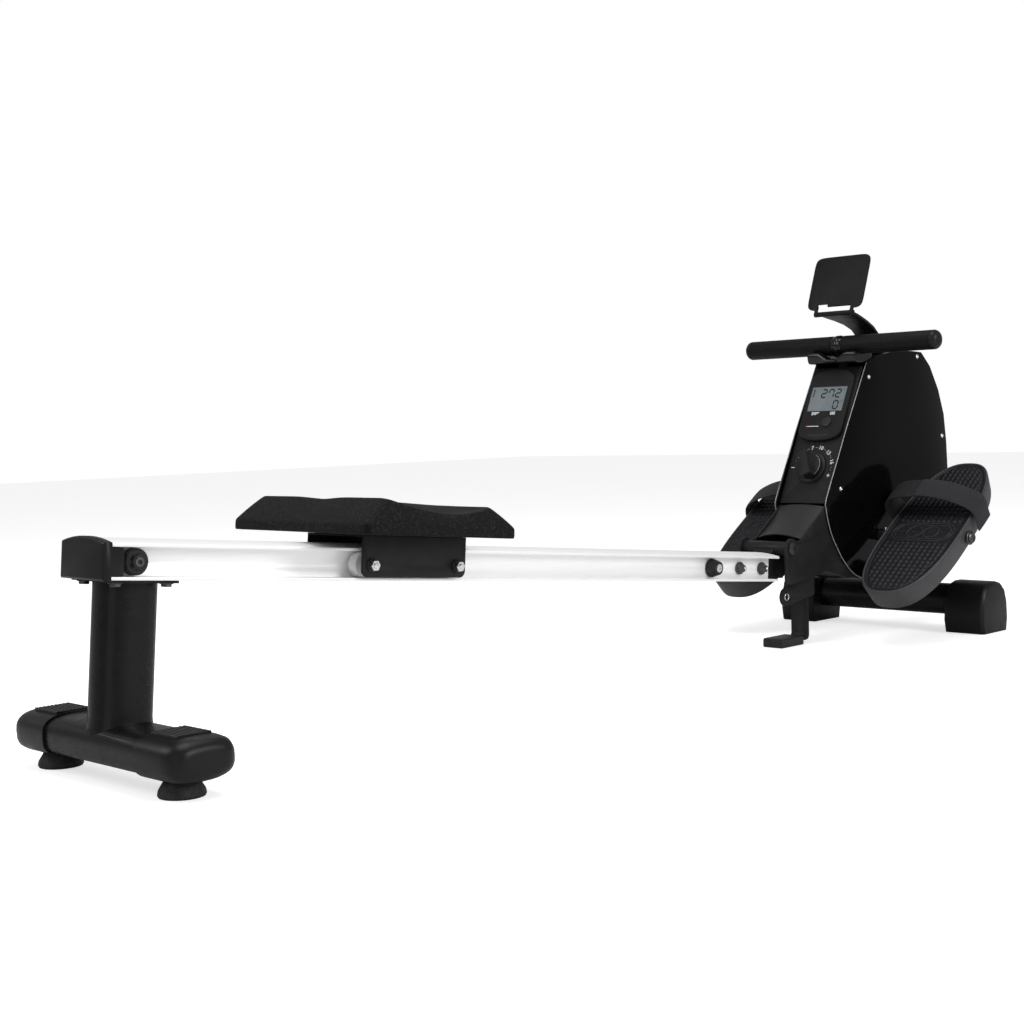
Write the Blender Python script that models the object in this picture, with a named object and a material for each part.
"""A folding magnetic rowing machine: 59 separate pieces, in metres.

The frame: +X runs from the rear foot to the flywheel, +Z is up, and Y is across.
The floor is Z = 0, and the machine is centred on X = 0 and Y = 0.
Everything on the rail is drawn in the rail's own frame, which slopes down to the front.
"""

import math

import bmesh
import bpy
from mathutils import Matrix, Vector

for old in list(bpy.data.objects):
    bpy.data.objects.remove(old)

GAP = 0.0003

# Rail: s runs along it towards the front, h is the height above its underside.
RAIL_SLOPE = math.radians(5.27)
RAIL_UNDERSIDE_Z = 0.1645
RAIL_REAR = -0.9547
RAIL_FRONT = 0.394
RAIL_HALF_WIDTH = 0.0493
RAIL_SIDE_HEIGHT = 0.0446
RAIL_CROWN = 0.006
FLANGE = 0.004
WEB_OUTER = 0.026
WEB_INNER = 0.022

# Rear stand.
REAR_FOOT_X = -0.9186
REAR_FOOT_Z = 0.0465
RUBBER_FOOT_X = -0.9228
RUBBER_FOOT_Y = 0.1394
REAR_CAP_START = 0.105
REAR_CAP_END = 0.190
POST_S = -0.905

# Seat carriage.
SEAT_S = -0.481
CARRIAGE_HALF_LENGTH = 0.096
CARRIAGE_TOP = 0.0630
CARRIAGE_BOTTOM = 0.0053
PLATE_OUTER = 0.0615
PLATE_INNER = 0.0585
ROLLER_OFFSET = 0.079
ROLLER_RADIUS = 0.0175
ROLLER_H = FLANGE + ROLLER_RADIUS + GAP

# Front unit.
PIVOT = Vector((0.4295, 0.0, 0.184))
SIDE_PLATE_INNER = 0.0490
SIDE_PLATE_OUTER = 0.0530
FRONT_FOOT_X = 0.8331
FRONT_FOOT_Z = 0.059
FRONT_TUBE_RADIUS = 0.030
FRONT_CAP_START = 0.149
FRONT_CAP_END = 0.2300
CONSOLE_FOOT = Vector((0.5418, 0.0, 0.2609))
CONSOLE_LEAN = math.radians(26.47)
SHELL_FACE = 0.0565
SHELL_WALL = 0.003
FLYWHEEL = Vector((0.785, 0.0, 0.355))
FLYWHEEL_RADIUS = 0.145
DRUM = Vector((0.655, 0.0, 0.335))
GUIDE = Vector((0.692, 0.0, 0.500))
PEDAL_AXLE = Vector((0.703, 0.0, 0.190))
PEDAL_LEAN = math.radians(34.5)
PEDAL_Y = 0.1720
HANDLE = Vector((0.6731, 0.0, 0.5527))
HANDLE_RISE = math.radians(10.0)
GRIP_RADIUS = 0.018
BAR_RADIUS = 0.0125
TABLET_HINGE = Vector((0.6500, 0.0, 0.6130))
TABLET_LEAN = math.radians(20.6)
KNOB_U = 0.069
ARM_PIVOT = Vector((0.640, 0.0, 0.212))

RAIL = Matrix.Translation((0, 0, RAIL_UNDERSIDE_Z)) @ Matrix.Rotation(RAIL_SLOPE, 4, "Y")
# Console frame: first axis up its face, second axis +Y, third axis out of its face.
CONSOLE = Matrix.Translation(CONSOLE_FOOT) @ Matrix.Rotation(-math.pi / 2 + CONSOLE_LEAN, 4, "Y")
# Pedal frame: first axis from heel to toe, third axis out of the tread.
PEDAL = Matrix.Translation(PEDAL_AXLE) @ Matrix.Rotation(-PEDAL_LEAN, 4, "Y")

machine = bpy.data.collections.new("rowing_machine")
cutters = bpy.data.collections.new("cutters")
bpy.context.scene.collection.children.link(machine)
bpy.context.scene.collection.children.link(cutters)
cutters.hide_render = True


def make_material(name, colour, roughness, metallic=0.0):
    made = bpy.data.materials.new(name)
    made.use_nodes = True
    made.diffuse_color = (*colour, 1.0)
    shader = made.node_tree.nodes["Principled BSDF"]
    shader.inputs["Base Color"].default_value = (*colour, 1.0)
    shader.inputs["Roughness"].default_value = roughness
    shader.inputs["Metallic"].default_value = metallic
    return made


PAINT = make_material("black_paint", (0.035, 0.035, 0.038), 0.45, 0.3)
PLASTIC = make_material("matte_plastic", (0.045, 0.045, 0.048), 0.5)
GLOSS = make_material("gloss_plastic", (0.015, 0.015, 0.017), 0.15)
RUBBER = make_material("rubber", (0.03, 0.03, 0.03), 0.8)
FOAM = make_material("foam", (0.035, 0.035, 0.038), 0.9)
ALUMINIUM = make_material("aluminium", (0.88, 0.89, 0.90), 0.35, 0.4)
STEEL = make_material("steel", (0.62, 0.63, 0.64), 0.3, 1.0)
IRON = make_material("cast_iron", (0.22, 0.22, 0.23), 0.5, 0.9)
WEBBING = make_material("webbing", (0.03, 0.03, 0.032), 0.9)
GLASS = make_material("display", (0.42, 0.47, 0.50), 0.2)


def loft(loops):
    """A closed solid through loops of the same number of points."""
    shape = bmesh.new()
    rings = [[shape.verts.new(point) for point in loop] for loop in loops]
    for ring, following in zip(rings, rings[1:]):
        count = len(ring)
        for i in range(count):
            shape.faces.new((ring[i], ring[(i + 1) % count], following[(i + 1) % count], following[i]))
    shape.faces.new(rings[0])
    shape.faces.new(rings[-1])
    bmesh.ops.recalc_face_normals(shape, faces=shape.faces[:])
    return shape


def prism(outline, y0, y1, bevel=0.0):
    """An outline in X and Z carried from y0 to y1, with its two rims chamfered."""
    stations = [(y0, 0.0), (y1, 0.0)]
    if bevel:
        stations = [(y0, bevel), (y0 + bevel, 0.0), (y1 - bevel, 0.0), (y1, bevel)]
    return loft([[(x, y, z) for x, z in inset(outline, d)] for y, d in stations])


def inset(outline, distance):
    """The outline moved inwards by a distance, corner by corner."""
    if not distance:
        return list(outline)
    points = [Vector(point) for point in outline]
    count = len(points)
    area = sum(points[i - 1].cross(points[i]) for i in range(count))
    turn = 1.0 if area > 0 else -1.0
    moved = []
    for i, point in enumerate(points):
        before = (point - points[i - 1]).normalized()
        after = (points[(i + 1) % count] - point).normalized()
        normals = [Vector((-edge.y, edge.x)) * turn for edge in (before, after)]
        mean = (normals[0] + normals[1]).normalized()
        moved.append(tuple(point + mean * distance / max(0.4, mean.dot(normals[0]))))
    return moved


def box(x0, x1, y0, y1, z0, z1, bevel=0.0):
    return prism([(x0, z0), (x1, z0), (x1, z1), (x0, z1)], y0, y1, bevel)


def circle(x, z, radius, count=24, start=0.0):
    angles = [start + 2 * math.pi * i / count for i in range(count)]
    return [(x + radius * math.cos(a), z + radius * math.sin(a)) for a in angles]


def arc(x, z, radius, first, last, count):
    """Points on an arc, in degrees from +X towards +Z."""
    angles = [math.radians(first + (last - first) * i / count) for i in range(count + 1)]
    return [(x + radius * math.cos(a), z + radius * math.sin(a)) for a in angles]


def oval(x, z, half_width, half_height, count=32, power=3.0):
    """A rounded rectangle drawn as a superellipse."""
    points = []
    for i in range(count):
        angle = 2 * math.pi * i / count
        c, s = math.cos(angle), math.sin(angle)
        dx = half_width * math.copysign(abs(c) ** (2 / power), c)
        dz = half_height * math.copysign(abs(s) ** (2 / power), s)
        points.append((x + dx, z + dz))
    return points


def turned(profile, x=0.0, z=0.0, count=24):
    """A turned solid about a line along Y, from its (y, radius) profile."""
    return loft([[(px, y, pz) for px, pz in circle(x, z, radius, count)] for y, radius in profile])


def upright(profile, x=0.0, y=0.0, count=24):
    """A turned solid about a vertical line, from its (z, radius) profile."""
    return loft([[(px, py, z) for px, py in circle(x, y, radius, count)] for z, radius in profile])


def mirrored(profile):
    """A (y, radius) profile for +Y, carried over to -Y as well."""
    return [(-y, radius) for y, radius in reversed(profile)] + list(profile)


def placed(shape, matrix):
    shape.transform(matrix)
    return shape


def add(shape, name, collection, origin=(0, 0, 0)):
    mesh = bpy.data.meshes.new(name)
    shape.transform(Matrix.Translation(-Vector(origin)))
    shape.to_mesh(mesh)
    shape.free()
    made = bpy.data.objects.new(name, mesh)
    made.location = origin
    collection.objects.link(made)
    return made


def node(name, shape, finish, origin=(0, 0, 0)):
    """A piece of the machine, with its origin on the axis that it moves about."""
    made = add(shape, name, machine, origin)
    made.data.materials.append(finish)
    return made


def combine(target, operation, shape):
    """Joins a helper shape to a piece, or cuts it from the piece."""
    count = len(target.modifiers)
    helper = add(shape, f"{target.name}_{operation.lower()}_{count}", cutters)
    helper.hide_render = True
    helper.display_type = "WIRE"
    modifier = target.modifiers.new(f"{operation.title()} {count}", "BOOLEAN")
    modifier.object = helper
    modifier.operation = operation
    modifier.solver = "EXACT"
    return target


def join(target, shape):
    return combine(target, "UNION", shape)


def cut(target, shape):
    return combine(target, "DIFFERENCE", shape)


def both_sides(build):
    """Builds a piece for +Y, the left, and its mirror image for -Y, the right."""
    for side, sign in (("left", 1.0), ("right", -1.0)):
        build(side, sign)


def flipped(shape, sign):
    """The shape, or its mirror image in Y with its faces turned back out."""
    if sign < 0:
        shape.transform(Matrix.Diagonal((1, -1, 1, 1)))
        bmesh.ops.reverse_faces(shape, faces=shape.faces[:])
    return shape


# ---------------------------------------------------------------- rail
def crown(half_width, base, rise, count=8):
    """The arched top of the rail, from +Y to -Y."""
    points = []
    for i in range(count + 1):
        y = half_width * (1 - 2 * i / count)
        points.append((y, base + rise * (1 - (y / half_width) ** 2)))
    return points


def along_rail(outline, s0, s1):
    """An outline in Y and h carried along the rail."""
    return loft([[(s, y, h) for y, h in outline] for s in (s0, s1)])


web_top = RAIL_SIDE_HEIGHT - FLANGE
rail_outline = [
    (-RAIL_HALF_WIDTH, 0.0),
    (RAIL_HALF_WIDTH, 0.0),
    (RAIL_HALF_WIDTH, FLANGE),
    (WEB_OUTER, FLANGE),
    (WEB_OUTER, web_top),
    (RAIL_HALF_WIDTH, web_top),
]
rail_outline += crown(RAIL_HALF_WIDTH, RAIL_SIDE_HEIGHT, RAIL_CROWN)
rail_outline += [
    (-RAIL_HALF_WIDTH, web_top),
    (-WEB_OUTER, web_top),
    (-WEB_OUTER, FLANGE),
    (-RAIL_HALF_WIDTH, FLANGE),
]
STOP_S = {"rear_stop": -0.914, "front_stop": 0.228}
KNUCKLE_BOLT_S = {"knuckle_bolt_rear": 0.307, "knuckle_bolt_front": 0.371}
CHANNEL_H = RAIL_SIDE_HEIGHT / 2

rail_beam = node("rail_beam", placed(along_rail(rail_outline, RAIL_REAR, RAIL_FRONT), RAIL), ALUMINIUM, PIVOT)
hollow = box(RAIL_REAR - 0.01, RAIL_FRONT + 0.01, -WEB_INNER, WEB_INNER, 0.0045, web_top - 0.0005)
cut(rail_beam, placed(hollow, RAIL))
for s in (*STOP_S.values(), *KNUCKLE_BOLT_S.values()):
    cut(rail_beam, placed(turned([(-0.03, 0.0043), (0.03, 0.0043)], s, CHANNEL_H, 16), RAIL))

cap_outline = [(-0.0505, -0.0012), (0.0505, -0.0012)]
cap_outline += crown(0.0505, RAIL_SIDE_HEIGHT + 0.0008, RAIL_CROWN + 0.0008)
end_cap_shape = loft(
    [
        [(s, y, h) for y, h in inset(cap_outline, d)]
        for s, d in ((-0.9667, 0.0022), (-0.9645, 0.0), (RAIL_REAR - GAP, 0.0))
    ]
)
rail_end_cap = node("rail_end_cap", placed(end_cap_shape, RAIL), PLASTIC, PIVOT)
for sign in (1, -1):
    y0, y1 = sorted((sign * (WEB_OUTER + 0.0006), sign * 0.0465))
    join(rail_end_cap, placed(box(RAIL_REAR - 0.002, -0.936, y0, y1, FLANGE + 0.0005, web_top - 0.0005), RAIL))

# The knuckle: a tongue inside the rail's hollow core, and the pivot tube across it.
pivot_on_rail = RAIL.inverted() @ PIVOT
tongue = [
    (0.270, 0.0050),
    (0.444, 0.0050),
    (0.452, 0.0120),
    (0.452, 0.0300),
    (0.437, 0.0560),
    (0.414, 0.0560),
    (0.402, 0.0396),
    (0.270, 0.0396),
]
rail_knuckle = node("rail_knuckle", placed(prism(tongue, -0.0215, 0.0215), RAIL), PAINT, PIVOT)
join(rail_knuckle, turned([(-0.0485, 0.0125), (0.0485, 0.0125)], PIVOT.x, PIVOT.z, 28))
cut(rail_knuckle, turned([(-0.06, 0.0063), (0.06, 0.0063)], PIVOT.x, PIVOT.z))
for s in KNUCKLE_BOLT_S.values():
    cut(rail_knuckle, placed(turned([(-0.03, 0.0043), (0.03, 0.0043)], s, CHANNEL_H, 16), RAIL))

stop_profiles = {
    "rear_stop": [
        (0.0263, 0.0040),
        (0.0266, 0.0150),
        (0.0290, 0.0168),
        (0.0385, 0.0168),
        (0.0405, 0.0150),
        (0.0405, 0.0100),
        (0.0455, 0.0090),
    ],
    "front_stop": [
        (0.0263, 0.0040),
        (0.0266, 0.0160),
        (0.0300, 0.0160),
        (0.0440, 0.0115),
        (0.0440, 0.0060),
        (0.0400, 0.0060),
        (0.0400, 0.0050),
        (0.0425, 0.0045),
    ],
}
for name, profile in stop_profiles.items():
    node(name, placed(turned(mirrored(profile), STOP_S[name], CHANNEL_H), RAIL), RUBBER, PIVOT)

bolt_profile = [
    (0.0263, 0.0040),
    (0.0266, 0.0108),
    (0.0285, 0.0108),
    (0.0300, 0.0085),
    (0.0355, 0.0070),
    (0.0385, 0.0055),
    (0.0405, 0.0030),
]
for name, s in KNUCKLE_BOLT_S.items():
    node(name, placed(turned(mirrored(bolt_profile), s, CHANNEL_H, 20), RAIL), STEEL, PIVOT)

# ---------------------------------------------------------------- rear stand
foot_tube = loft(
    [[(x, y, z) for x, z in oval(REAR_FOOT_X, REAR_FOOT_Z, 0.0445, 0.0255)] for y in (-0.1047, 0.1047)]
)
rear_stand = node("rear_stand", foot_tube, PAINT, PIVOT)
post_top_h, post_bottom_h = -0.0020, -0.2050
flare = [(post_bottom_h, 0.0430, 0.0350), (-0.1820, 0.0415, 0.0330), (-0.1700, 0.0400, 0.0315), (post_top_h, 0.0400, 0.0315)]
post = loft([[(s, y, h) for s, y in oval(POST_S, 0.0, a, b, 28, 2.4)] for h, a, b in flare])
join(rear_stand, placed(post, RAIL))
join(rear_stand, placed(box(POST_S - 0.047, POST_S + 0.047, -0.0475, 0.0475, -0.0035, -GAP), RAIL))


def rear_foot(side, sign):
    sections = (
        (REAR_CAP_START, 0.0480, 0.0275),
        (0.1600, 0.0480, 0.0275),
        (0.1740, 0.0465, 0.0265),
        (0.1840, 0.0415, 0.0225),
        (0.1890, 0.0340, 0.0160),
        (REAR_CAP_END, 0.0270, 0.0105),
    )
    shape = loft([[(x, y, z) for x, z in oval(REAR_FOOT_X, REAR_FOOT_Z, a, b)] for y, a, b in sections])
    cap = node(f"rear_foot_cap_{side}", flipped(shape, sign), PLASTIC, PIVOT)
    # The tread on top is a comb of nine ribs that run along the foot.
    first = REAR_FOOT_X - 0.0245
    ribs = [(first, 0.0700)]
    for i in range(9):
        x = first + 0.0056 * i
        ribs += [(x, 0.0758), (x + 0.0034, 0.0758)]
        if i < 8:
            ribs += [(x + 0.0034, 0.0746), (x + 0.0056, 0.0746)]
    ribs.append((first + 0.0056 * 8 + 0.0034, 0.0700))
    comb = loft([[(x, y, z) for x, z in ribs] for y in (0.1085, 0.1640)])
    join(cap, flipped(comb, sign))
    profile = [(0.0, 0.0280), (0.0025, 0.0291), (0.0080, 0.0280), (0.0185, 0.0215)]
    foot = upright(profile, RUBBER_FOOT_X, sign * RUBBER_FOOT_Y)
    node(f"rubber_foot_{side}", foot, RUBBER, PIVOT)


both_sides(rear_foot)

# ---------------------------------------------------------------- seat
seat_origin = RAIL @ Vector((SEAT_S, 0, CARRIAGE_TOP))
s0, s1 = SEAT_S - CARRIAGE_HALF_LENGTH, SEAT_S + CARRIAGE_HALF_LENGTH
plate_outline = [(s0, CARRIAGE_TOP), (s1, CARRIAGE_TOP), *arc(s1 - 0.010, CARRIAGE_BOTTOM + 0.010, 0.010, 0, -90, 5)]
plate_outline += arc(s0 + 0.010, CARRIAGE_BOTTOM + 0.010, 0.010, -90, -180, 5)
seat_carriage = node(
    "seat_carriage",
    placed(prism(plate_outline, -PLATE_OUTER, PLATE_OUTER, 0.0008), RAIL),
    PAINT,
    seat_origin,
)
cut(seat_carriage, placed(box(s0 - 0.01, s1 + 0.01, -PLATE_INNER, PLATE_INNER, -0.01, CARRIAGE_TOP - 0.003), RAIL))
roller_axles = {"rear": SEAT_S - ROLLER_OFFSET, "front": SEAT_S + ROLLER_OFFSET}
for s in roller_axles.values():
    cut(seat_carriage, placed(turned([(-0.07, 0.0043), (0.07, 0.0043)], s, ROLLER_H, 16), RAIL))


def rollers(side, sign):
    for end, s in roller_axles.items():
        centre = RAIL @ Vector((s, 0, ROLLER_H))
        tread = [(0.0304, 0.0160), (0.0318, ROLLER_RADIUS), (0.0442, ROLLER_RADIUS), (0.0456, 0.0160)]
        shape = flipped(turned(tread, s, ROLLER_H, 28), sign)
        roller = node(f"roller_{end}_{side}", placed(shape, RAIL), PLASTIC, centre)
        cut(roller, placed(turned([(-0.07, 0.0043), (0.07, 0.0043)], s, ROLLER_H, 16), RAIL))
        bolt = [(0.0275, 0.0065), (0.0300, 0.0065), (0.0300, 0.0040), (0.0619, 0.0040), (0.0619, 0.0092)]
        bolt += [(0.0640, 0.0092), (0.0640, 0.0076), (0.0705, 0.0076), (0.0720, 0.0055)]
        shape = flipped(turned(bolt, s, ROLLER_H, 18), sign)
        node(f"roller_bolt_{end}_{side}", placed(shape, RAIL), STEEL, seat_origin)


both_sides(rollers)

PAD_BOTTOM = CARRIAGE_TOP + GAP
PAD_REAR = SEAT_S - 0.163
PAD_FRONT = SEAT_S + 0.113
PAD_HALF_WIDTH = 0.149


def smooth(value, low, high):
    t = min(1.0, max(0.0, (value - low) / (high - low)))
    return t * t * (3 - 2 * t)


def pad_height(along, across):
    """Height of the moulded top: raised at the back, with two thigh scoops open at the sides."""
    share = min(1.0, max(0.0, (along - 0.143) / 0.714))
    body = 0.0500 - 0.0078 * share
    centre_groove = 0.004 * math.exp(-((across / 0.22) ** 2)) * (1 - smooth(along, 0.30, 0.60))
    depth = 0.0131 * math.sin(math.pi * share ** 1.233) ** 0.765 if 0.0 < share < 1.0 else 0.0
    beside = smooth(abs(across), 0.12, 0.62) * (1.12 - 0.12 * smooth(abs(across), 0.62, 0.92))
    return body - centre_groove - depth * beside


def pad_outline(distance):
    """The pad's plan: a rectangle with small round corners, moved in by a distance."""
    half_length = (PAD_FRONT - PAD_REAR) / 2 - distance
    half_width = PAD_HALF_WIDTH - distance * 0.30
    middle = (PAD_REAR + PAD_FRONT) / 2
    radius = 0.012
    points = []
    for corner, (cx, cy) in enumerate(((1, 1), (-1, 1), (-1, -1), (1, -1))):
        x = middle + cx * (half_length - radius)
        y = cy * (half_width - radius)
        points += arc(x, y, radius, 90 * corner, 90 * corner + 90, 3)
        end_x, end_y = points[-1]
        following = ((-1, 1), (-1, -1), (1, -1), (1, 1))[corner]
        to_x = middle + following[0] * (half_length - (0 if corner % 2 else radius))
        to_y = following[1] * (half_width - (radius if corner % 2 else 0))
        points += [(end_x + (to_x - end_x) * k / 7, end_y + (to_y - end_y) * k / 7) for k in range(1, 7)]
    return points


def pad_shape():
    """Side wall, chamfer and moulded top, built as nested loops that close on the middle."""
    steps = ((0.0015, 0.0), (0.0, 0.0025), (0.0, 0.0140), (0.0040, 0.0180))
    loops = [[(s, y, PAD_BOTTOM + h) for s, y in pad_outline(d)] for d, h in steps]
    middle = (PAD_REAR + PAD_FRONT) / 2
    edge = pad_outline(0.0400)
    for share in (1.0, 0.87, 0.70, 0.50, 0.30, 0.12):
        loop = []
        for s, y in edge:
            ps = middle + (s - middle) * share
            py = y * share
            along = (ps - PAD_REAR) / (PAD_FRONT - PAD_REAR)
            loop.append((ps, py, PAD_BOTTOM + pad_height(along, py / PAD_HALF_WIDTH)))
        loops.append(loop)
    return loft(loops)


node("seat_pad", placed(pad_shape(), RAIL), FOAM, seat_origin)

# ---------------------------------------------------------------- front foot
tube = turned([(-0.1487, FRONT_TUBE_RADIUS), (0.1487, FRONT_TUBE_RADIUS)], FRONT_FOOT_X, FRONT_FOOT_Z, 32)
node("front_foot_tube", tube, PAINT)


def front_foot_cap(side, sign):
    profile = [(-0.0445, 0.0), (0.0445, 0.0), (0.0500, 0.0240), (0.0480, 0.0560), (0.0400, 0.0800)]
    profile += [(0.0270, 0.0920), (0.0100, 0.0965), (-0.0100, 0.0965), (-0.0270, 0.0920)]
    profile += [(-0.0400, 0.0800), (-0.0480, 0.0560), (-0.0500, 0.0240)]
    outline = [(FRONT_FOOT_X + x, z) for x, z in profile]
    loops = []
    for y, d in ((FRONT_CAP_START, 0.0015), (FRONT_CAP_START + 0.0015, 0.0), (FRONT_CAP_END - 0.0055, 0.0), (FRONT_CAP_END, 0.0055)):
        loops.append([(x, y, 0.0 if z < 1e-6 else pz) for (x, pz), (_, z) in zip(inset(outline, d), outline)])
    node(f"front_foot_cap_{side}", flipped(loft(loops), sign), PLASTIC)


both_sides(front_foot_cap)

# ---------------------------------------------------------------- main frame
side_plate = [
    *arc(PIVOT.x, PIVOT.z, 0.0185, 40, 180, 8),
    (0.4108, 0.1310),
    (0.4150, 0.1220),
    (0.4250, 0.1188),
    (0.5017, 0.1279),
    (0.5348, 0.1357),
    (0.6000, 0.1180),
    (0.7000, 0.1030),
    (0.8000, 0.0935),
    (0.8660, 0.0935),
    (0.8660, 0.1600),
    (0.8250, 0.3000),
    *arc(FLYWHEEL.x, FLYWHEEL.z, 0.030, -20, 100, 6),
    (0.7200, 0.4300),
    (0.7020, 0.4950),
    (0.6750, 0.4950),
    (0.5560, 0.2620),
    (0.5440, 0.2562),
    (0.4600, 0.1975),
]
main_frame = node("main_frame", prism(side_plate, SIDE_PLATE_INNER, SIDE_PLATE_OUTER), PAINT)
join(main_frame, prism(side_plate, -SIDE_PLATE_OUTER, -SIDE_PLATE_INNER))
spine = [(0.5150, 0.1330), (0.5400, 0.1370), (0.6000, 0.1210), (0.7000, 0.1060), (0.8050, 0.0950)]
spine += [(0.8600, 0.0950), (0.8600, 0.1250), (0.7000, 0.1360), (0.5300, 0.1700), (0.5150, 0.1700)]
join(main_frame, prism(spine, -0.0500, 0.0500))
for centre, radius in ((PIVOT, 0.0063), (FLYWHEEL, 0.0063), (DRUM, 0.0053), (PEDAL_AXLE, 0.0083), (GUIDE, 0.0043)):
    if centre is not GUIDE:
        cut(main_frame, turned([(-0.06, radius), (0.06, radius)], centre.x, centre.z, 20))
cut(main_frame, turned([(-0.06, 0.0043), (0.06, 0.0043)], ARM_PIVOT.x, ARM_PIVOT.z, 16))

bolt = [(0.0485, 0.0060), (0.0533, 0.0060), (0.0533, 0.0105), (0.0570, 0.0105), (0.0582, 0.0095)]
node("pivot_bolt", turned(mirrored(bolt), PIVOT.x, PIVOT.z), STEEL)

# ---------------------------------------------------------------- centre leg
lock_plate = [*arc(0.4402, 0.0949, 0.0170, 80, 255, 9), (0.5235, 0.0899), (0.5280, 0.0920), (0.5280, 0.1265), (0.4950, 0.1250)]
centre_leg = node("centre_leg", prism(lock_plate, -0.0315, -0.0275), PAINT)
join(centre_leg, box(0.5225, 0.5275, -0.0312, 0.0312, 0.0930, 0.1262))
bar = [(0.5278, 0.1000), (0.5222, 0.1000), (0.5222, 0.0180), (0.5200, 0.0142), (0.5160, 0.0126), (0.4430, 0.0126)]
bar += [(0.4430, 0.0070), (0.5190, 0.0070), (0.5250, 0.0095), (0.5278, 0.0150)]
join(centre_leg, prism(bar, -0.0180, 0.0180))
cut(centre_leg, turned([(-0.04, 0.0055), (0.04, 0.0055)], 0.4402, 0.0949, 20))

boot = [(0.4370, 0.0020), (0.4390, 0.0), (0.5040, 0.0), (0.5060, 0.0020), (0.5060, 0.0150), (0.5040, 0.0165)]
boot += [(0.4400, 0.0165), (0.4370, 0.0140)]
leg_boot = node("leg_boot", prism(boot, -0.0215, 0.0215, 0.0015), RUBBER)
cut(leg_boot, box(0.4426, 0.5200, -0.0184, 0.0184, 0.0066, 0.0130))

# ---------------------------------------------------------------- housing
shell_outline = [
    (0.6765, 0.5187),
    (0.6035, 0.3924),
    (0.5350, 0.2662),
    (0.5345, 0.2480),
    (0.5392, 0.2288),
    (0.5490, 0.2040),
    (0.5635, 0.1809),
    (0.5900, 0.1480),
    (0.6244, 0.1209),
    (0.6700, 0.1060),
    (0.7300, 0.0990),
    (0.8000, 0.0985),
    (0.8600, 0.1060),
    (0.9050, 0.1320),
    (0.9380, 0.1750),
    (0.9560, 0.2300),
    (0.9666, 0.2950),
    (0.9625, 0.3600),
    (0.9540, 0.4160),
    (0.9340, 0.4660),
    (0.9040, 0.5120),
    (0.8730, 0.5390),
    (0.8400, 0.5410),
    (0.7700, 0.5400),
    (0.7100, 0.5300),
]
shell_middle = Vector((0.7550, 0.3150))


def shell_loops(rim_y, stations, wall):
    """Loops from the seam out to the domed side, all moved inwards by the wall."""
    base = inset(shell_outline, wall)
    loops = [[(x, rim_y, z) for x, z in base]]
    for y, share in stations:
        loop = [shell_middle + (Vector(point) - shell_middle) * share for point in base]
        loops.append([(x, y - wall, z) for x, z in loop])
    return loops


dome = ((SHELL_FACE - 0.0010, 1.0), (SHELL_FACE, 0.996), (0.0592, 0.92), (0.0622, 0.78), (0.0642, 0.60), (0.0652, 0.34))


def housing(side, sign):
    shape = loft(shell_loops(0.0004, dome, 0.0))
    shell = node(f"housing_{side}", flipped(shape, sign), GLOSS)
    cut(shell, flipped(loft(shell_loops(-0.0100, dome, SHELL_WALL)), sign))
    opening = [(0.6400, 0.5500), (0.5000, 0.2700), (0.5000, 0.0500), (0.8850, 0.0500), (0.8850, 0.1500)]
    opening += [(0.8000, 0.1500), (0.6300, 0.1700), (0.5800, 0.2700), (0.7060, 0.5000), (0.7060, 0.5500)]
    cut(shell, flipped(prism(opening, -0.0200, 0.0534), sign))
    cut(shell, flipped(turned([(0.0400, 0.0125), (0.0800, 0.0125)], PEDAL_AXLE.x, PEDAL_AXLE.z, 20), sign))


both_sides(housing)

# ---------------------------------------------------------------- console
console_panel = node("console_panel", placed(box(-0.0020, 0.2795, -0.0531, 0.0531, -0.0030, 0.0, 0.0006), CONSOLE), PLASTIC)
console_matrix_z = CONSOLE @ Matrix.Rotation(math.pi / 2, 4, "X")


def console_disc(profile, u, v, count=28):
    """A turned solid standing out of the console, from its (w, radius) profile."""
    loops = [[(u + x, v + y, w) for x, y in circle(0, 0, radius, count)] for w, radius in profile]
    return placed(loft(loops), CONSOLE)


cut(console_panel, console_disc([(-0.01, 0.0055), (0.01, 0.0055)], KNOB_U, 0.0, 20))


def case_outline(distance=0.0):
    """The display's case: straight sides, and a rounded top and bottom."""
    half, low, high = 0.0473, 0.1440, 0.2500
    points = [(low, -half)]
    for i in range(1, 10):
        v = -half * math.cos(math.pi * i / 10)
        points.append((low - 0.0210 * math.sin(math.pi * i / 10) ** 0.8, v))
    points += [(low, half), (high, half)]
    for i in range(1, 10):
        v = half * math.cos(math.pi * i / 10)
        points.append((high + 0.0225 * math.sin(math.pi * i / 10) ** 0.8, v))
    points.append((high, -half))
    return inset(points, distance)


case_steps = ((GAP, 0.0), (0.0070, 0.0), (0.0085, 0.0015))
case_shape = loft([[(u, v, w) for u, v in case_outline(d)] for w, d in case_steps])
monitor_case = node("monitor_case", placed(case_shape, CONSOLE), PLASTIC)
cut(monitor_case, placed(box(0.1830, 0.2350, -0.0393, 0.0393, 0.0040, 0.0200), CONSOLE))
monitor_screen = node(
    "monitor_screen", placed(box(0.1834, 0.2346, -0.0389, 0.0389, 0.0044, 0.0080, 0.0005), CONSOLE), GLASS
)
BUTTON = (0.1600, -0.0128)
cut(monitor_case, console_disc([(0.0020, 0.0051), (0.0200, 0.0051)], *BUTTON, 24))
button_origin = CONSOLE @ Vector((*BUTTON, 0.008))
node("mode_button", console_disc([(0.0045, 0.0047), (0.0096, 0.0047), (0.0102, 0.0040)], *BUTTON, 24), PLASTIC, button_origin)

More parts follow.
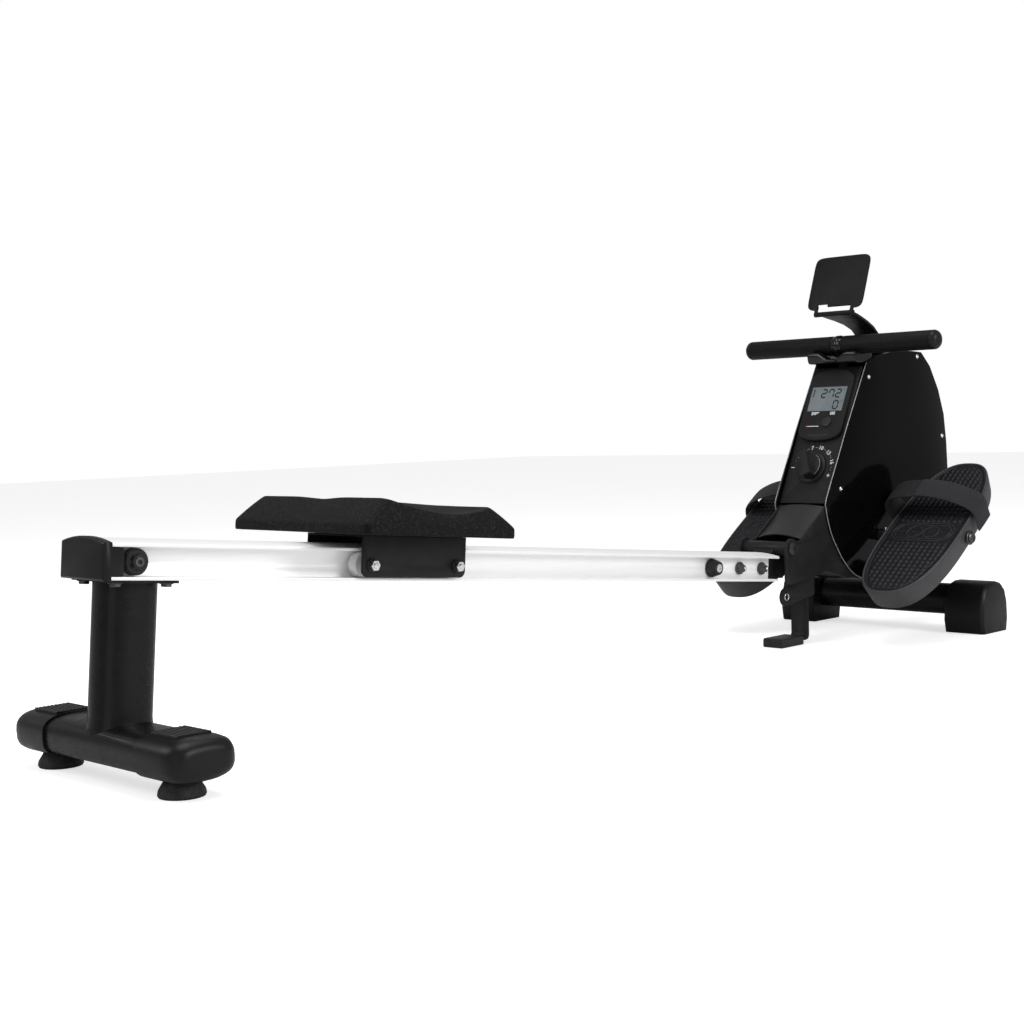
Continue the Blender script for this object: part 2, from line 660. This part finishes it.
knob_origin = CONSOLE @ Vector((KNOB_U, 0, 0))
knob_profile = [(-0.0120, 0.0050), (0.0012, 0.0050), (0.0012, 0.0245), (0.0105, 0.0240), (0.0125, 0.0222)]
tension_knob = node("tension_knob", console_disc(knob_profile, KNOB_U, 0.0), PLASTIC, knob_origin)
grip = [(-0.0260, -0.0080), (0.0260, -0.0080), (0.0290, -0.0040), (0.0290, 0.0040), (0.0260, 0.0080), (-0.0260, 0.0080)]
grip_turn = Matrix.Rotation(math.radians(27), 4, "Z")
grip_place = CONSOLE @ Matrix.Translation((KNOB_U, 0, 0)) @ grip_turn
grip_shape = loft([[(a, b, w) for a, b in inset(grip, d)] for w, d in ((0.0100, 0.0), (0.0270, 0.0), (0.0295, 0.0020))])
join(tension_knob, placed(grip_shape, grip_place))

# The throat cover arches between the side plates, from the console's foot to the pivot.
top_edge = (Vector((0.5400, 0, 0.2535)), 0.0040)
low_edge = (Vector((0.4650, 0, 0.1990)), 0.0100)
cover_up = Vector((-0.588, 0, 0.809))


def cover_point(share, across, lift):
    centre = top_edge[0].lerp(low_edge[0], share)
    rise = top_edge[1] + (low_edge[1] - top_edge[1]) * share
    sag = 0.004 * math.sin(math.pi * share)
    return centre + cover_up * (rise * (1 - across * across) - sag + lift) + Vector((0, 0.0484 * across, 0))


cover_loops = []
for i in range(7):
    over = [cover_point(i / 6, -1 + 2 * j / 10, 0.0) for j in range(11)]
    under = [cover_point(i / 6, 1 - 2 * j / 10, -0.0025) for j in range(11)]
    cover_loops.append(over + under)
node("throat_cover", loft(cover_loops), PLASTIC)

# The handle's cradle: a saddle in front of the housing's top, notched for the strap.
saddle = [(0.6480, 0.5180), (0.6960, 0.5180), (0.7020, 0.5230), (0.7020, 0.5440), (0.6975, 0.5460)]
saddle += arc(HANDLE.x, HANDLE.z, GRIP_RADIUS + 0.0008, -28, -148, 9)
saddle += [(0.6520, 0.5420), (0.6420, 0.5380), (0.6420, 0.5240)]
handle_cradle = node("handle_cradle", prism(saddle, -0.0530, 0.0530, 0.0012), PLASTIC)
cut(handle_cradle, box(0.6300, 0.6905, -0.0150, 0.0150, 0.5245, 0.5700))
cut(handle_cradle, box(0.6800, 0.6905, -0.0140, 0.0140, 0.5000, 0.5700))

# ---------------------------------------------------------------- tablet holder
arm_path = [
    (0.7720, 0.5425),
    (0.7750, 0.5580),
    (0.7700, 0.5730),
    (0.7530, 0.5870),
    (0.7290, 0.5970),
    (0.7040, 0.6040),
    (0.6820, 0.6090),
    (0.6650, 0.6125),
    (0.6590, 0.6130),
]


def ribbon(path, thickness, half_widths, matrix=None):
    """A flat bar that follows a path in X and Z, with a half width at each point."""
    loops = []
    for i, (x, z) in enumerate(path):
        back = Vector(path[max(0, i - 1)])
        ahead = Vector(path[min(len(path) - 1, i + 1)])
        along = (ahead - back).normalized()
        side = Vector((-along.y, along.x)) * thickness / 2
        w = half_widths[i]
        high, low = (x + side.x, z + side.y), (x - side.x, z - side.y)
        loops.append([(high[0], -w, high[1]), (high[0], w, high[1]), (low[0], w, low[1]), (low[0], -w, low[1])])
    shape = loft(loops)
    return placed(shape, matrix) if matrix else shape


arm_widths = [0.0300, 0.0270, 0.0250, 0.0250, 0.0270, 0.0310, 0.0350, 0.0358, 0.0358]
tablet_arm = node("tablet_arm", ribbon(arm_path, 0.0050, arm_widths), PLASTIC)
join(tablet_arm, turned([(-0.0360, 0.0048), (0.0360, 0.0048)], TABLET_HINGE.x + 0.0060, TABLET_HINGE.z, 20))
join(tablet_arm, box(0.7470, 0.7970, -0.0300, 0.0300, 0.5415, 0.5450))

TABLET = Matrix.Translation(TABLET_HINGE + Vector((0.0060, 0, 0))) @ Matrix.Rotation(-math.pi / 2 + TABLET_LEAN, 4, "Y")
tablet_outline = oval(0.0620, 0.0, 0.0545, 0.0612, 48, 9.0)
tablet_shape = loft([[(u, v, w) for u, v in inset(tablet_outline, d)] for w, d in ((0.0012, 0.0006), (0.0018, 0.0), (0.0044, 0.0), (0.0050, 0.0006))])
tablet_plate = node("tablet_plate", placed(tablet_shape, TABLET), PLASTIC, TABLET.translation)
cut(tablet_plate, placed(box(0.0000, 0.0135, -0.0380, 0.0380, -0.0100, 0.0200), TABLET))
cut(tablet_plate, placed(box(0.0000, 0.0190, 0.0150, 0.0380, -0.0100, 0.0200), TABLET))
for sign in (1, -1):
    y0, y1 = sorted((sign * 0.0364, sign * 0.0430))
    tab = turned([(y0, 0.0048), (y1, 0.0048)], 0.0, 0.0, 16)
    join(tablet_plate, placed(tab, TABLET))
    join(tablet_plate, placed(box(0.0020, 0.0150, y0, y1, 0.0014, 0.0046), TABLET))

# ---------------------------------------------------------------- pedals
PEDAL_HALF_LENGTH = 0.193
PEDAL_HALF_WIDTH = 0.0790
TREAD_W = 0.0270


def pedal_outline(distance, count=44):
    """A long rounded plan, a little wider towards the heel."""
    points = []
    for u, v in oval(0.0, 0.0, PEDAL_HALF_LENGTH - distance, PEDAL_HALF_WIDTH - distance, count, 2.60):
        points.append((u, v * (1 - 0.05 * u / PEDAL_HALF_LENGTH)))
    return points


def pedal(side, sign):
    steps = ((-0.0180, 0.0090), (-0.0150, 0.0055), (0.0250, 0.0), (TREAD_W, 0.0020))
    shape = loft([[(u, v + PEDAL_Y, w) for u, v in pedal_outline(d)] for w, d in steps])
    made = node(f"pedal_{side}", placed(flipped(shape, sign), PEDAL), PLASTIC, PEDAL_AXLE)
    steps = ((TREAD_W - 0.0030, 0.0050), (TREAD_W + 0.0100, 0.0050))
    pocket = loft([[(u, v + PEDAL_Y, w) for u, v in pedal_outline(d)] for w, d in steps])
    cut(made, placed(flipped(pocket, sign), PEDAL))
    cut(made, turned([(-0.2500, 0.0083), (0.2500, 0.0083)], PEDAL_AXLE.x, PEDAL_AXLE.z, 20))
    # The strap: down both sides of the pedal, and arched over the foot.
    path = [(-0.0826, 0.0060), (-0.0850, 0.0190), (-0.0930, 0.0290), (-0.0980, 0.0400), (-0.0940, 0.0530), (-0.0800, 0.0610)]
    path += [(-0.0550, 0.0650), (-0.0260, 0.0655), (0.0040, 0.0630), (0.0310, 0.0580), (0.0560, 0.0500)]
    path += [(0.0775, 0.0390), (0.0850, 0.0240), (0.0852, -0.0020)]
    loops = []
    for i, (v, w) in enumerate(path):
        back, ahead = Vector(path[max(0, i - 1)]), Vector(path[min(len(path) - 1, i + 1)])
        along = (ahead - back).normalized()
        out = Vector((-along.y, along.x)) * 0.0011
        lean = 0.25 * max(0.0, w - 0.011)
        near, far = 0.0220 + lean, 0.0730 + lean
        over, under = (v + out.x + PEDAL_Y, w + out.y), (v - out.x + PEDAL_Y, w - out.y)
        loops.append([(near, *over), (far, *over), (far, *under), (near, *under)])
    node(f"pedal_strap_{side}", placed(flipped(loft(loops), sign), PEDAL), WEBBING, PEDAL_AXLE)


both_sides(pedal)
axle = [(0.0100, 0.0080), (0.2525, 0.0080), (0.2525, 0.0105), (0.2565, 0.0105), (0.2580, 0.0085)]
collared = [(0.0100, 0.0080), (0.0560, 0.0080), (0.0560, 0.0110), (0.0920, 0.0110), (0.0920, 0.0080), *axle[1:]]
node("pedal_axle", turned(mirrored(collared), PEDAL_AXLE.x, PEDAL_AXLE.z, 20), STEEL)

# ---------------------------------------------------------------- drive
wheel = [(-0.0440, 0.0070), (-0.0440, 0.0200), (-0.0425, 0.0200), (-0.0425, 0.0180), (-0.0275, 0.0180)]
wheel += [(-0.0275, 0.0200), (-0.0260, 0.0200), (-0.0260, 0.0160), (0.0220, 0.0160), (0.0240, 0.0300), (0.0240, 0.1150)]
wheel += [(0.0160, 0.1200), (0.0160, 0.1435), (0.0175, FLYWHEEL_RADIUS), (0.0445, FLYWHEEL_RADIUS)]
wheel += [(0.0460, 0.1435), (0.0460, 0.1200), (0.0380, 0.1150), (0.0380, 0.0300), (0.0400, 0.0160), (0.0460, 0.0160), (0.0460, 0.0070)]
flywheel = node("flywheel", turned(wheel, FLYWHEEL.x, FLYWHEEL.z, 56), IRON, FLYWHEEL)
cut(flywheel, turned([(-0.06, 0.0063), (0.06, 0.0063)], FLYWHEEL.x, FLYWHEEL.z, 20))
node("flywheel_axle", turned([(-0.0528, 0.0060), (0.0528, 0.0060)], FLYWHEEL.x, FLYWHEEL.z, 20), STEEL)

spool = [(-0.0450, 0.0080), (-0.0450, 0.0580), (-0.0435, 0.0580), (-0.0425, 0.0550), (-0.0275, 0.0550)]
spool += [(-0.0265, 0.0580), (-0.0250, 0.0580), (-0.0250, 0.0180), (-0.0135, 0.0180), (-0.0135, 0.0330)]
spool += [(-0.0120, 0.0330), (-0.0120, 0.0280), (0.0120, 0.0280), (0.0120, 0.0330), (0.0135, 0.0330)]
strap_drum = node("strap_drum", turned(spool, DRUM.x, DRUM.z, 36), PLASTIC, DRUM)
cut(strap_drum, turned([(-0.06, 0.0053), (0.06, 0.0053)], DRUM.x, DRUM.z, 20))
node("drum_axle", turned([(-0.0528, 0.0050), (0.0130, 0.0050)], DRUM.x, DRUM.z, 20), STEEL)


def belt_outline(extra):
    """The belt's run round the drum's pulley and the flywheel's small pulley."""
    big, small = 0.0550 + extra, 0.0180 + extra
    line = Vector((FLYWHEEL.x - DRUM.x, FLYWHEEL.z - DRUM.z))
    heading = math.degrees(math.atan2(line.y, line.x))
    spread = math.degrees(math.acos((big - small) / line.length))
    points = arc(DRUM.x, DRUM.z, big, heading + spread, heading + 360 - spread, 24)
    return points + arc(FLYWHEEL.x, FLYWHEEL.z, small, heading - spread, heading + spread, 12)


drive_belt = node("drive_belt", prism(belt_outline(0.0028), -0.0410, -0.0290), RUBBER)
cut(drive_belt, prism(belt_outline(0.0003), -0.0500, -0.0200))

guide = [(-0.0160, 0.0110), (-0.0145, 0.0110), (-0.0135, 0.0080), (0.0135, 0.0080), (0.0145, 0.0110), (0.0160, 0.0110)]
guide_roller = node("guide_roller", turned(guide, GUIDE.x, GUIDE.z), PLASTIC, GUIDE)
cut(guide_roller, turned([(-0.06, 0.0033), (0.06, 0.0033)], GUIDE.x, GUIDE.z, 16))
join(main_frame, box(0.6870, 0.6985, 0.0180, 0.0500, 0.4860, 0.5060))
join(main_frame, box(0.6870, 0.6985, -0.0500, -0.0180, 0.4860, 0.5060))
join(main_frame, turned([(-0.0200, 0.0030), (0.0200, 0.0030)], GUIDE.x, GUIDE.z, 16))

# The brake arm carries magnets round the flywheel's lower rim, and the knob's cable moves it.
arm_outline = [*arc(ARM_PIVOT.x, ARM_PIVOT.z, 0.0110, 130, 300, 8)]
arm_outline += arc(FLYWHEEL.x, FLYWHEEL.z, FLYWHEEL_RADIUS + 0.0180, 232, 262, 8)
arm_outline += arc(FLYWHEEL.x, FLYWHEEL.z, FLYWHEEL_RADIUS + 0.0060, 262, 222, 10)
brake_arm = node("brake_arm", prism(arm_outline, 0.0130, 0.0460), PAINT, ARM_PIVOT)
cut(brake_arm, turned([(0.0, 0.0043), (0.06, 0.0043)], ARM_PIVOT.x, ARM_PIVOT.z, 16))
node("brake_pin", turned([(0.0110, 0.0040), (0.0528, 0.0040)], ARM_PIVOT.x, ARM_PIVOT.z, 16), STEEL)

cable_path = [(0.5860, 0.3160), (0.5950, 0.3080), (0.6020, 0.2900), (0.6100, 0.2600), (0.6220, 0.2350)]
cable_loops = []
for i, (x, z) in enumerate(cable_path):
    back, ahead = Vector(cable_path[max(0, i - 1)]), Vector(cable_path[min(len(cable_path) - 1, i + 1)])
    along = (ahead - back).normalized()
    across = Vector((-along.y, along.x))
    loop = []
    for k in range(8):
        a = 2 * math.pi * k / 8
        offset = across * 0.0018 * math.cos(a)
        loop.append((x + offset.x, 0.0180 + 0.0018 * math.sin(a), z + offset.y))
    cable_loops.append(loop)
node("tension_cable", loft(cable_loops), RUBBER)

# ---------------------------------------------------------------- handle
node("handle_bar", turned([(-0.1900, BAR_RADIUS), (0.1900, BAR_RADIUS)], HANDLE.x, HANDLE.z, 28), STEEL, HANDLE)


def handle_grip(side, sign):
    outer = [(0.0115, 0.0165), (0.0125, GRIP_RADIUS), (0.2020, GRIP_RADIUS), (0.2075, 0.0168), (0.2120, 0.0130), (0.2140, 0.0070)]
    shape = node(f"grip_{side}", flipped(turned(outer, HANDLE.x, HANDLE.z, 32), sign), FOAM, HANDLE)
    bore = turned([(0.0, BAR_RADIUS + GAP), (0.1906, BAR_RADIUS + GAP)], HANDLE.x, HANDLE.z, 28)
    cut(shape, flipped(bore, sign))


both_sides(handle_grip)
handle_clamp = node("handle_clamp", turned([(-0.0110, 0.0165), (-0.0100, 0.0175), (0.0100, 0.0175), (0.0110, 0.0165)], HANDLE.x, HANDLE.z, 32), PLASTIC, HANDLE)
join(handle_clamp, box(0.6800, 0.6890, -0.0100, 0.0100, 0.5310, 0.5480, 0.0010))
cut(handle_clamp, turned([(-0.05, BAR_RADIUS + GAP), (0.05, BAR_RADIUS + GAP)], HANDLE.x, HANDLE.z, 28))
strap_path = [(0.6845, 0.5306), (0.6840, 0.5200), (0.6822, 0.5100), (0.6812, 0.5000)]
node("pull_strap", ribbon(strap_path, 0.0016, [0.0100, 0.0100, 0.0100, 0.0100]), WEBBING, HANDLE)
